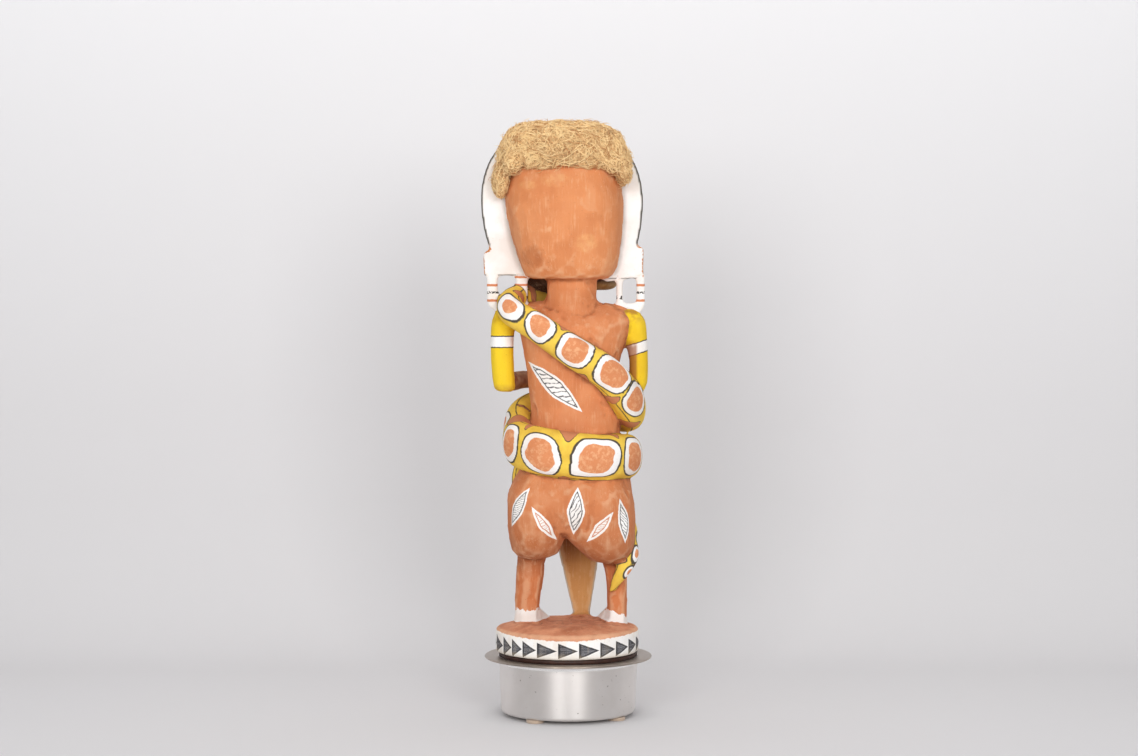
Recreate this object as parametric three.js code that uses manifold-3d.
// Wooden ancestor figure, carved from one log and wound about by a painted snake.
// Millimetres, +Z up. The figure looks along -Y. It rests on the floor, and the origin is
// there, midway between the sides of the whole object.

import * as THREE from 'three';
import { mergeVertices } from 'three/addons/utils/BufferGeometryUtils.js';
import Module from 'manifold-3d';

const wasm = await Module();
wasm.setup();

// Driving dimensions of the figure
const FIGURE_HEIGHT = 450; // from the carved ground to the crown of the wig
const DISC_DIAMETER = 129;
const DISC_EDGE_HEIGHT = 22;
const DISC_SHIFT = 0.9; // how far the disc sits from the middle of the stand, towards +X
const DISC_CROWN = 4; // how far the carved ground swells above the rim
const DISC_CROWN_DIAMETER = 86; // the level part of that swelling
const BOARD_THICKNESS = 8; // the apron board between the legs
const EAR_THICKNESS = 7;
const LOOP_BAR = 9.5; // mean width of the bars of the loops that hang from the ears
const SNAKE_WIDTH = 39; // across the snake where its ring passes the right hip
const SNAKE_THICKNESS = 27; // from the wood it lies on outwards, at the same place

// Driving dimensions of the stand
const FLANGE_DIAMETER = 151;
const DRUM_DIAMETER = 125; // outside, just under the flange
const DRUM_TAPER = 3.6; // how much less it measures across at the bottom
const DRUM_HEIGHT = 51; // metal, without the pads
const SHEET_THICKNESS = 1.6;
const FLANGE_FILLET = 4;
const DRUM_CORNER = 3.2;
const INSERT_HEIGHT = 3.3; // what shows of the insert above the flange
const PLUG_DEPTH = 9; // what goes down into the mouth
const PLUG_CLEARANCE = 0.8; // from the plug to the wall all round
const PAD_DIAMETER = 16;
const PAD_HEIGHT = 3;
const PAD_INSET = 0.6; // from the edge of a pad to the edge of the drum's foot
const PAD_COUNT = 4;
const FIRST_PAD_ANGLE = 55.8; // degrees from +X
const TOUCH = 0.3; // the gap kept where two pieces rest on each other

// Facets
const BODY_SIDES = 18;
const LIMB_SIDES = 8;
const SNAKE_SIDES = 8;
const SNAKE_STEPS = 72;
const ROUND_SIDES = 36;

// Levels, from the floor up
const drumFloorZ = PAD_HEIGHT + TOUCH;
const flangeTopZ = drumFloorZ + DRUM_HEIGHT;
const insertTopZ = flangeTopZ + TOUCH + INSERT_HEIGHT;
const discFloorZ = insertTopZ + TOUCH;
const rimZ = discFloorZ + DISC_EDGE_HEIGHT;
const groundZ = rimZ + DISC_CROWN;

// The carving keeps its proportions: its tables are set out for a figure of this height,
// with the carved ground at their own zero level, and drawn at FIGURE_HEIGHT.
const CARVED_AT = 450;
const CARVED_GROUND = 8;
const u = FIGURE_HEIGHT / CARVED_AT;
const level = (h) => groundZ + u * (h - CARVED_GROUND);

const colours = {
  terracotta: 0xd98a58,
  fibre: 0xdcae74,
  metal: 0xb7b3b0,
  insert: 0x2c150f,
  felt: 0xcdbda8,
};

function material(color, roughness, metalness = 0) {
  return new THREE.MeshStandardMaterial({ color, roughness, metalness });
}

// A closed mesh from rings of points, each ring joined to the next, with a fan on each end.
function skin(rings) {
  const sides = rings[0].length;
  const points = rings.flat();
  const triangles = [];
  for (let r = 0; r < rings.length - 1; r += 1) {
    for (let s = 0; s < sides; s += 1) {
      const a = r * sides + s;
      const b = r * sides + ((s + 1) % sides);
      triangles.push(a, b, b + sides, a, b + sides, a + sides);
    }
  }
  const middle = (ring) => ring.reduce((sum, p) => sum.add(p), new THREE.Vector3()).divideScalar(sides);
  const first = points.push(middle(rings[0])) - 1;
  const last = points.push(middle(rings[rings.length - 1])) - 1;
  const top = (rings.length - 1) * sides;
  for (let s = 0; s < sides; s += 1) {
    const next = (s + 1) % sides;
    triangles.push(first, next, s, last, top + s, top + next);
  }
  const geometry = new THREE.BufferGeometry().setFromPoints(points);
  geometry.setIndex(triangles);
  return geometry;
}

// Six times the volume that the mesh encloses, negative when its faces point inwards.
function signedVolume(geometry) {
  const p = geometry.attributes.position;
  const index = geometry.index.array;
  const [a, b, c] = [0, 1, 2].map(() => new THREE.Vector3());
  let sum = 0;
  for (let i = 0; i < index.length; i += 3) {
    a.fromBufferAttribute(p, index[i]);
    b.fromBufferAttribute(p, index[i + 1]);
    c.fromBufferAttribute(p, index[i + 2]);
    sum += a.dot(b.cross(c));
  }
  return sum;
}

function solid(geometry) {
  const bare = geometry.index ? geometry.toNonIndexed() : geometry.clone();
  bare.deleteAttribute('normal');
  bare.deleteAttribute('uv');
  const merged = mergeVertices(bare, 1e-4);
  const triVerts = Uint32Array.from(merged.index.array);
  if (signedVolume(merged) < 0) triVerts.reverse();
  const vertProperties = Float32Array.from(merged.attributes.position.array);
  return new wasm.Manifold(new wasm.Mesh({ numProp: 3, vertProperties, triVerts }));
}

function joined(solids) {
  return solids.reduce((sum, piece) => sum.add(piece));
}

function geometryOf(manifold) {
  const mesh = manifold.getMesh();
  const geometry = new THREE.BufferGeometry();
  const coordinates = Float32Array.from(mesh.vertProperties);
  geometry.setAttribute('position', new THREE.BufferAttribute(coordinates, 3));
  geometry.setIndex(Array.from(mesh.triVerts));
  geometry.computeVertexNormals();
  return geometry;
}

// Rows of numbers, read as a smooth curve that passes through each row.
function smoothRows(rows, t) {
  const at = t * (rows.length - 1);
  const i = Math.min(Math.floor(at), rows.length - 2);
  const f = at - i;
  const row = (k) => rows[Math.max(0, Math.min(rows.length - 1, k))];
  return rows[i].map((_, c) => {
    const [p0, p1, p2, p3] = [row(i - 1)[c], row(i)[c], row(i + 1)[c], row(i + 2)[c]];
    const slopes = [(p2 - p0) / 2, (p3 - p1) / 2];
    const [f2, f3] = [f * f, f * f * f];
    return (2 * f3 - 3 * f2 + 1) * p1 + (f3 - 2 * f2 + f) * slopes[0]
      + (3 * f2 - 2 * f3) * p2 + (f3 - f2) * slopes[1];
  });
}

// A point of a superellipse of half-sizes 1, at an angle.
function squareRound(angle, exponent) {
  const power = 2 / exponent;
  const bend = (v) => Math.sign(v) * Math.abs(v) ** power;
  return [bend(Math.cos(angle)), bend(Math.sin(angle))];
}

// An upright form from rows of height, centre x, centre y, half-width and half-depth.
function upright(rows, exponent, sides, steps, grow = 0) {
  const rings = [];
  for (let k = 0; k <= steps; k += 1) {
    const [h, cx, cy, halfWidth, halfDepth] = smoothRows(rows, k / steps);
    const ring = [];
    for (let s = 0; s < sides; s += 1) {
      const [c, d] = squareRound((2 * Math.PI * s) / sides, exponent);
      const x = u * (cx + c * halfWidth) + grow * c;
      const y = u * (cy + d * halfDepth) + grow * d;
      ring.push(new THREE.Vector3(x, y, level(h) + (k === steps ? grow : 0)));
    }
    rings.push(ring);
  }
  return skin(rings);
}

// A form along a route, from rows of x, y, height, half-width and half-thickness.
// The thickness points away from the place that outwards gives.
function along(rows, outwards, exponent, sides, steps) {
  const place = (t) => {
    const [x, y, h] = smoothRows(rows, t);
    return new THREE.Vector3(x, y, h);
  };
  const rings = [];
  for (let k = 0; k <= steps; k += 1) {
    const t = k / steps;
    const [x, y, h, halfWidth, halfThickness] = smoothRows(rows, t);
    const here = new THREE.Vector3(x, y, h);
    const step = 0.25 / steps;
    const ahead = place(Math.min(1, t + step)).sub(place(Math.max(0, t - step))).normalize();
    const away = outwards(here);
    away.addScaledVector(ahead, -away.dot(ahead)).normalize();
    const across = new THREE.Vector3().crossVectors(ahead, away);
    const ring = [];
    for (let s = 0; s < sides; s += 1) {
      const [c, d] = squareRound((2 * Math.PI * s) / sides, exponent);
      const p = here.clone().addScaledVector(away, c * halfThickness);
      p.addScaledVector(across, d * halfWidth);
      ring.push(new THREE.Vector3(u * p.x, u * p.y, level(p.z)));
    }
    rings.push(ring);
  }
  return skin(rings);
}

// An egg shape, by its middle and its half-sizes.
function egg([x, y, h], [rx, ry, rz], sides = 20, rows = 14) {
  const geometry = new THREE.SphereGeometry(1, sides, rows);
  geometry.rotateX(Math.PI / 2);
  geometry.scale(u * rx, u * ry, u * rz);
  geometry.translate(u * x, u * y, level(h));
  return geometry;
}

// A flat shape drawn in x and height, of a given thickness about a given y.
function slab(outline, thickness, y) {
  const geometry = new THREE.ExtrudeGeometry(outline, {
    depth: thickness, bevelEnabled: false, curveSegments: 4,
  });
  geometry.rotateX(Math.PI / 2);
  geometry.translate(0, u * y + thickness / 2, 0);
  return geometry;
}

// Trunk, from the crotch up to the shoulders
const TRUNK = [
  [88, 2, -6, 34, 30],
  [94, 0, -3, 49, 38],
  [104, -1.9, -2, 55, 43],
  [118, -2, 0, 56.5, 44.5],
  [132, -2.5, 0, 54, 43.5],
  [142, -3.2, 0, 49.5, 39],
  [158, -5, 0, 42, 32],
  [182, -6.5, 0, 39.5, 30.5],
  [206, -5, 0, 39, 30],
  [222, -4.2, 0, 40.2, 30.5],
  [238, -4, 0, 41.2, 32],
  [258, -4.6, 0, 45.5, 33.5],
  [272, -5.4, 0, 49.5, 32],
  [283, -5.8, -2, 52, 27],
  [289.5, -6, -4, 48, 21],
  [294, -4, -5, 41, 15.5],
  [298, 6, -6, 22, 11],
];

// Buttocks, from the fold over the thigh up to the small of the back
const BUTTOCKS = [
  [
    [67.5, 30, 8, 10, 13],
    [70, 29.5, 8.5, 17, 22],
    [78, 28.7, 9, 22.8, 29.5],
    [92, 28.3, 9.5, 25.2, 34.5],
    [108, 28, 9, 26.5, 36.5],
    [124, 26.5, 6, 27.5, 37],
    [138, 23, 3, 25, 34],
    [150, 18, 0, 19, 29],
  ],
  [
    [63.5, -36, 8, 9, 12],
    [66, -36, 8.5, 16, 20],
    [75, -33.5, 9, 24.5, 29.5],
    [88, -28.8, 9.5, 31.2, 34.5],
    [106, -28.5, 9, 31.5, 36.5],
    [124, -29.5, 6, 28.5, 37],
    [138, -27, 3, 26, 34],
    [150, -24, 0, 20, 29],
  ],
];

const LEGS = [
  [
    [3, 37, -4, 11.5, 13],
    [22, 37, -4, 11, 12.5],
    [48, 35, -4, 12.3, 13.5],
    [74, 32, -2, 13.6, 15],
    [96, 30, 0, 17, 18],
  ],
  [
    [3, -44, -4, 9.2, 12.5],
    [22, -44.3, -4, 8.8, 12],
    [48, -43.7, -4, 9.6, 12.5],
    [68, -41.5, -2, 12.5, 14],
    [96, -36, 0, 17, 18],
  ],
];

// Feet, from the heel forwards and inwards
const FEET = [
  [
    [38, 6, 9, 9, 7],
    [36, -4, 12, 11, 11],
    [32, -18, 10, 11.5, 9],
    [28, -32, 7, 11, 6],
    [25, -41, 5, 8, 3.5],
  ],
  [
    [-44, 6, 9, 7.5, 7],
    [-43, -4, 12, 9, 11],
    [-40, -18, 10, 10, 9],
    [-37, -32, 7, 10, 6],
    [-35, -41, 5, 7, 3.5],
  ],
];

// The apron board: where its edges are at its foot and at its top
const BOARD = { y: -45, foot: [-18.6, -6.5, 2], top: [-34, 16.5, 104] };

const NECK = [
  [276, -4.5, 0, 27, 25.5],
  [288, -4, 0, 24, 23],
  [306, -3.4, 0, 22.4, 22],
  [326, -3, -2, 22.4, 22],
];

const HEAD = [
  [318.5, -0.5, -2, 33, 35],
  [321.5, -0.5, -2, 38.5, 39.5],
  [330, -0.8, -2, 42.7, 43],
  [340, 0.1, -2, 45.6, 45],
  [354, 1.2, -2, 48.6, 46.5],
  [368, 2.2, -2, 50.8, 47],
  [380, 3, -2, 52.1, 47.5],
  [391, 3.6, -2, 52.3, 47.5],
  [403, 3.8, -2, 50.8, 46.5],
  [416, 3.8, -2, 48, 44],
  [430, 3.8, -2, 42, 38.5],
  [440, 3.8, -2, 33, 30],
  [446, 3.8, -2, 20, 18],
];

// The jaw, which comes lower in front than the head does behind
const JAW = [
  [307.5, -3, -34, 33, 15],
  [309.8, -3, -34, 40, 20],
  [315, -2, -31, 43, 24],
  [326, -1, -28, 43.5, 26],
  [342, 0, -26, 44, 27],
];

const FACE = {
  middle: 2.5,
  brow: { h: 384, y: -46, half: 33, thick: 6 },
  eye: { h: 371, y: -47.5, apart: 21, size: [11, 5, 5.5] },
  nose: [
    [0, -45, 384, 4, 5],
    [0, -51, 372, 5.5, 7],
    [0, -55, 358, 8.5, 10],
    [0, -54, 350, 10.5, 9],
    [0, -47, 346, 8, 5],
  ],
  mouth: { h: 334, y: -49, size: [17, 7, 3.6], apart: 3.4 },
  chin: { h: 314, y: -46, size: [17, 10, 9] },
};

// Ears: the middle of the two quarter ellipses of the outer edge, how far they reach out,
// up and down, the block below them with its floor at its inner and outer ends, and the
// hanging loop with the widths of its inner and outer bars as shares of LOOP_BAR
const EARS = [
  {
    side: 1, middle: [45, 390], reach: 33.5, up: 53, down: 70, inner: 36,
    notch: 343.5, block: 76.7, floor: [320.3, 321.3],
    loop: [36.5, 73.6], bars: [1.16, 1.08], loopFoot: 289,
  },
  {
    side: -1, middle: [35, 387], reach: 32.3, up: 54, down: 71, inner: 33,
    notch: 347.5, block: 68.2, floor: [315, 319.5],
    loop: [43, 69], bars: [0.65, 0.8], loopFoot: 287.5,
  },
];
const EAR_Y = -2;

const UPPER_ARMS = [
  [
    [216.5, 56, 0, 6.5, 7],
    [219, 57, 0, 9.2, 10.5],
    [227, 58.2, 0, 9.8, 11.5],
    [245, 59.2, 0, 10, 12],
    [268, 59, 0, 10.3, 12],
    [281, 56.6, 0, 11.6, 12],
    [288, 54, 0, 11, 10.5],
    [291, 51, 0, 8, 7],
  ],
  [
    [216.5, -60, 0, 5, 7],
    [219, -61.5, 0, 7.5, 10.5],
    [227, -62.8, 0, 8.4, 11.5],
    [245, -63.2, 0, 8.2, 12],
    [268, -60.8, 0, 9.9, 12],
    [280, -58.4, 0, 10.8, 12],
    [286, -54, 0, 10.7, 10.5],
    [289.5, -50, 0, 8, 7],
  ],
];

// Forearms and hands, from the elbow to the finger tips on the snake
const FOREARMS = [
  [
    [59, 4, 224.5, 9, 7.5],
    [54, -14, 224.5, 10, 8.3],
    [42, -38, 225.5, 9, 8],
    [29, -55, 225, 8.5, 7],
    [19, -64, 219, 10, 6],
    [11, -67, 209, 8, 4.5],
  ],
  [
    [-62, 4, 223, 8, 7],
    [-58, -14, 222, 8.5, 8],
    [-48, -38, 223, 8.5, 8],
    [-35, -55, 222, 8.5, 7],
    [-25, -64, 216, 10, 6],
    [-17, -67, 206, 8, 4.5],
  ],
];

// The snake's route, from its head on the chest, over the left shoulder, down across the
// back, round the waist, once more round in front and so to its tail on the right thigh:
// x, y, height, and its half-width and half-thickness as shares of those at the right hip
const SNAKE = [
  [-28, -45, 255, 0.18, 0.2],
  [-24, -47, 261, 0.5, 0.5],
  [-17, -48, 269, 0.62, 0.68],
  [-7, -46, 280, 0.5, 0.68],
  [8, -43, 290, 0.56, 0.72],
  [26, -36, 297, 0.6, 0.74],
  [42, -19, 300.5, 0.62, 0.76],
  [50.5, 3, 299.5, 0.62, 0.78],
  [50.5, 22, 289.5, 0.64, 0.8],
  [28, 36, 275.5, 0.67, 0.81],
  [-3, 40.5, 254.5, 0.72, 0.85],
  [-35, 34.5, 233.5, 0.79, 0.92],
  [-53.5, 14, 210, 0.88, 0.96],
  [-56.5, -10, 199, 0.92, 0.96],
  [-46, -35, 196, 0.92, 0.96],
  [-22, -49, 199, 0.92, 0.96],
  [4, -52.5, 200, 0.92, 0.96],
  [28, -45, 197, 0.93, 0.96],
  [42, -26, 189.5, 0.95, 0.97],
  [45.5, -3, 178, 1, 0.98],
  [43, 20, 170, 1.08, 1],
  [25, 37, 166, 1.08, 1],
  [-3, 43, 162.3, 1.05, 1],
  [-32, 35, 160.3, 1, 1],
  [-51, 12, 159.5, 1, 1],
  [-52, -14, 156.5, 0.99, 0.98],
  [-38, -38, 152.5, 0.96, 0.97],
  [-10, -50, 149, 0.93, 0.95],
  [18, -48, 146, 0.9, 0.92],
  [37, -36, 139, 0.85, 0.88],
  [33, -42, 119, 0.78, 0.85],
  [10, -51, 109, 0.72, 0.8],
  [-16, -51, 105, 0.67, 0.76],
  [-40, -40, 99, 0.61, 0.7],
  [-53, -20, 91, 0.56, 0.63],
  [-55, 1, 80.5, 0.51, 0.57],
  [-55.5, 13, 69, 0.44, 0.48],
  [-49.5, 15, 57, 0.36, 0.38],
  [-42.5, 13, 45, 0.23, 0.25],
  [-37.5, 10.5, 36, 0.07, 0.1],
];

// The fibre wig: the cap, and the locks that hang over the ears
const WIG = [
  [415.5, 4, -1, 54, 48.5],
  [418.5, 3.6, -1, 58.5, 52],
  [424, 3.4, -1, 60, 53.5],
  [430, 4, -1, 60, 54],
  [437, 4.6, -1, 57, 52],
  [444, 4.4, -1, 53.5, 49],
  [450, 5.4, -1, 48.5, 44],
  [455, 6.8, -1, 40, 36],
  [458, 8.5, -1, 30, 26],
];
const LOCKS = [
  { at: [60, 16, 407], size: [9, 20, 17] },
  { at: [-49, 19, 412], size: [9.5, 19, 15] },
  { at: [60, -24, 407], size: [8, 14, 14] },
  { at: [-52, -24, 409], size: [7.6, 14, 14] },
];

// Where the snake's back faces away from: the trunk, or lower down the right thigh
function fromTheTrunk(p) {
  const legTop = 75;
  const hip = 110;
  const shoulder = 270;
  const tilt = 2.2; // how much more it faces upwards over the shoulder
  const share = THREE.MathUtils.smoothstep(p.z, legTop, hip);
  const axisX = THREE.MathUtils.lerp(-41, -4, share);
  return new THREE.Vector3(p.x - axisX, p.y + 2, tilt * Math.max(0, p.z - shoulder));
}

const upwards = () => new THREE.Vector3(0, 0, 1);
const forwards = () => new THREE.Vector3(0, -1, 0);

function headBlock(grow = 0) {
  return upright(HEAD, 2.7, BODY_SIDES, 13, grow);
}

function snake() {
  const halfWidth = SNAKE_WIDTH / 2 / u;
  const halfThickness = SNAKE_THICKNESS / 2 / u;
  const rows = SNAKE.map(([x, y, h, w, t]) => [x, y, h, w * halfWidth, t * halfThickness]);
  return along(rows, fromTheTrunk, 2.2, SNAKE_SIDES, SNAKE_STEPS);
}

// One ear board with its block and loop, grown by a clearance for cutting the wig
function ear(e, grow = 0) {
  const x = (v) => e.side * u * v;
  const edge = new THREE.Shape();
  const steps = 10;
  const [mx, mh] = e.middle;
  const [innerFloor, outerFloor] = e.floor;
  const [reach, up, down] = [e.reach, e.up, e.down].map((size) => size + (2 * grow) / u);
  edge.moveTo(x(e.inner), level(innerFloor));
  edge.lineTo(x(e.inner), level(mh + up * 0.8));
  const startAngle = THREE.MathUtils.degToRad(83);
  const lowest = Math.asin((e.notch - mh) / e.down);
  for (let k = 0; k <= steps; k += 1) {
    const a = THREE.MathUtils.lerp(startAngle, lowest, k / steps);
    const tall = a > 0 ? up : down;
    edge.lineTo(x(mx + reach * Math.cos(a)), level(mh + tall * Math.sin(a)));
  }
  edge.lineTo(x(e.block), level(e.notch - 2));
  edge.lineTo(x(e.block - 1), level(outerFloor));
  return slab(edge, EAR_THICKNESS + 2 * grow, EAR_Y);
}

function loop(e) {
  const [a, b] = e.loop.map((v) => u * v);
  const bottom = level(e.loopFoot);
  const top = level(e.floor[1] + 3);
  const roundShare = 0.55;
  const round = Math.min((b - a) / 2, top - bottom) * roundShare;
  const [innerBar, outerBar] = e.bars.map((share) => share * LOOP_BAR);
  const footBar = bottom + 0.9 * LOOP_BAR;
  const outline = new THREE.Shape();
  outline.moveTo(a, top);
  outline.lineTo(a, bottom + round);
  outline.quadraticCurveTo(a, bottom, a + round, bottom);
  outline.lineTo(b - round, bottom);
  outline.quadraticCurveTo(b, bottom, b, bottom + round);
  outline.lineTo(b, top);
  outline.lineTo(b - outerBar, top);
  outline.lineTo(b - outerBar, footBar);
  outline.lineTo(a + innerBar, footBar);
  outline.lineTo(a + innerBar, top);
  const geometry = slab(outline, EAR_THICKNESS, EAR_Y);
  return e.side < 0 ? geometry.scale(-1, 1, 1) : geometry;
}

function board() {
  const [left0, right0, h0] = BOARD.foot;
  const [left1, right1, h1] = BOARD.top;
  const outline = new THREE.Shape();
  outline.moveTo(u * left0, level(h0));
  outline.lineTo(u * right0, level(h0));
  outline.lineTo(u * right1, level(h1));
  outline.lineTo(u * left1, level(h1));
  return slab(outline, BOARD_THICKNESS, BOARD.y);
}

function face() {
  const { middle, brow, eye, nose, mouth, chin } = FACE;
  const noseRows = nose.map(([x, y, h, w, t]) => [x + middle, y, h, w, t]);
  const pieces = [
    egg([middle, brow.y + 4, brow.h], [brow.half, 9, brow.thick], 12, 5),
    along(noseRows, forwards, 2.2, 8, 7),
    egg([middle, chin.y, chin.h], chin.size, 12, 7),
  ];
  for (const side of [-1, 1]) {
    pieces.push(egg([middle + side * eye.apart, eye.y, eye.h], eye.size, 12, 6));
    pieces.push(egg([middle, mouth.y, mouth.h + side * mouth.apart], mouth.size, 12, 6));
  }
  return pieces;
}

// The disc is turned about the axis, with a carved ground that swells towards its middle.
function disc() {
  const rim = DISC_DIAMETER / 2;
  const shelf = DISC_CROWN_DIAMETER / 2;
  const corner = 1.5;
  const arris = 0.5;
  const profile = [
    [0, discFloorZ],
    [rim - arris, discFloorZ],
    [rim, discFloorZ + arris],
    [rim, rimZ - corner],
    [rim - corner, rimZ],
  ];
  const steps = 3;
  for (let k = 1; k <= steps; k += 1) {
    const t = k / steps;
    const r = THREE.MathUtils.lerp(rim - corner, shelf, t);
    profile.push([r, rimZ + DISC_CROWN * THREE.MathUtils.smoothstep(t, 0, 1)]);
  }
  profile.push([0, groundZ]);
  return turned(profile).translate(DISC_SHIFT, 0, 0);
}

function turned(profile) {
  const points = profile.map(([r, z]) => new THREE.Vector2(r, z));
  const geometry = new THREE.LatheGeometry(points, ROUND_SIDES);
  geometry.rotateX(Math.PI / 2);
  return geometry;
}

function carvedFigure() {
  const trunk = [
    upright(TRUNK, 2.4, BODY_SIDES, 18),
    ...BUTTOCKS.map((rows) => upright(rows, 2.2, 12, 8)),
    upright(NECK, 2.1, 14, 3),
  ];
  const head = [headBlock(), upright(JAW, 2.6, 14, 4), ...face()];
  const limbs = [
    ...LEGS.map((rows) => upright(rows, 2.3, LIMB_SIDES, 5)),
    ...FEET.map((rows) => along(rows, upwards, 2.5, LIMB_SIDES, 5)),
    ...UPPER_ARMS.map((rows) => upright(rows, 2.5, LIMB_SIDES, 9)),
    ...FOREARMS.map((rows) => along(rows, upwards, 2.4, LIMB_SIDES, 6)),
  ];
  const boards = [board(), ...EARS.map((e) => ear(e)), ...EARS.map(loop)];
  return joined([disc(), ...trunk, ...head, ...limbs, ...boards, snake()].map(solid));
}

function fibreWig() {
  const cap = solid(upright(WIG, 2.5, 18, 9));
  const locks = LOCKS.map(({ at, size }) => solid(egg(at, size, 10, 6)));
  const under = [headBlock(TOUCH), ...EARS.map((e) => ear(e, TOUCH))];
  return joined([cap, ...locks]).subtract(joined(under.map(solid)));
}

// The stand: a spun metal drum, closed below, with a flange about its mouth
function standDrum() {
  const top = flangeTopZ;
  const sheet = SHEET_THICKNESS;
  const outer = DRUM_DIAMETER / 2;
  const foot = outer - DRUM_TAPER / 2;
  const flange = FLANGE_DIAMETER / 2;
  const lip = sheet / 2;
  const arc = (cx, cz, r, from, to, steps) => Array.from({ length: steps + 1 }, (_, k) => {
    const a = THREE.MathUtils.degToRad(THREE.MathUtils.lerp(from, to, k / steps));
    return [cx + r * Math.cos(a), cz + r * Math.sin(a)];
  });
  const profile = [
    [0, drumFloorZ],
    ...arc(foot - DRUM_CORNER, drumFloorZ + DRUM_CORNER, DRUM_CORNER, -90, 0, 2),
    ...arc(outer + FLANGE_FILLET, top - sheet - FLANGE_FILLET, FLANGE_FILLET, 180, 90, 3),
    ...arc(flange - lip, top - lip, lip, -90, 90, 2),
    [outer - sheet, top],
    [foot - sheet, drumFloorZ + DRUM_CORNER],
    [foot - DRUM_CORNER, drumFloorZ + sheet],
    [0, drumFloorZ + sheet],
  ];
  return turned(profile);
}

function standInsert() {
  const plate = DRUM_DIAMETER / 2;
  const plug = plate - SHEET_THICKNESS - PLUG_CLEARANCE;
  const seat = flangeTopZ + TOUCH;
  const mouth = flangeTopZ - PLUG_DEPTH;
  const taper = (DRUM_TAPER / 2) * (PLUG_DEPTH / DRUM_HEIGHT);
  const chamfer = 0.8;
  const profile = [
    [0, mouth],
    [plug - taper - chamfer, mouth],
    [plug - taper, mouth + chamfer],
    [plug, seat],
    [plate, seat],
    [plate, insertTopZ - chamfer],
    [plate - chamfer, insertTopZ],
    [0, insertTopZ],
  ];
  return turned(profile);
}

function pad(number) {
  const angle = THREE.MathUtils.degToRad(FIRST_PAD_ANGLE + (360 / PAD_COUNT) * number);
  const radius = (DRUM_DIAMETER - DRUM_TAPER - PAD_DIAMETER) / 2 - PAD_INSET;
  const geometry = new THREE.CylinderGeometry(PAD_DIAMETER / 2, PAD_DIAMETER / 2, PAD_HEIGHT, 12);
  geometry.rotateX(Math.PI / 2);
  geometry.translate(radius * Math.cos(angle), radius * Math.sin(angle), PAD_HEIGHT / 2);
  return geometry;
}

const object = new THREE.Group();

function add(name, geometry, finish) {
  const mesh = new THREE.Mesh(geometry, finish);
  mesh.name = name;
  object.add(mesh);
}

const felt = material(colours.felt, 0.95);
add('carved_figure', geometryOf(carvedFigure()), material(colours.terracotta, 0.8));
add('fibre_wig', geometryOf(fibreWig()), material(colours.fibre, 0.95));
add('stand_drum', geometryOf(solid(standDrum())), material(colours.metal, 0.35, 1));
add('stand_insert', geometryOf(solid(standInsert())), material(colours.insert, 0.6));
for (let k = 0; k < PAD_COUNT; k += 1) {
  add(`stand_pad_${k + 1}`, geometryOf(solid(pad(k))), felt);
}

const { min, max } = new THREE.Box3().setFromObject(object);
object.position.set(-(min.x + max.x) / 2, -(min.y + max.y) / 2, 0);

export default object;
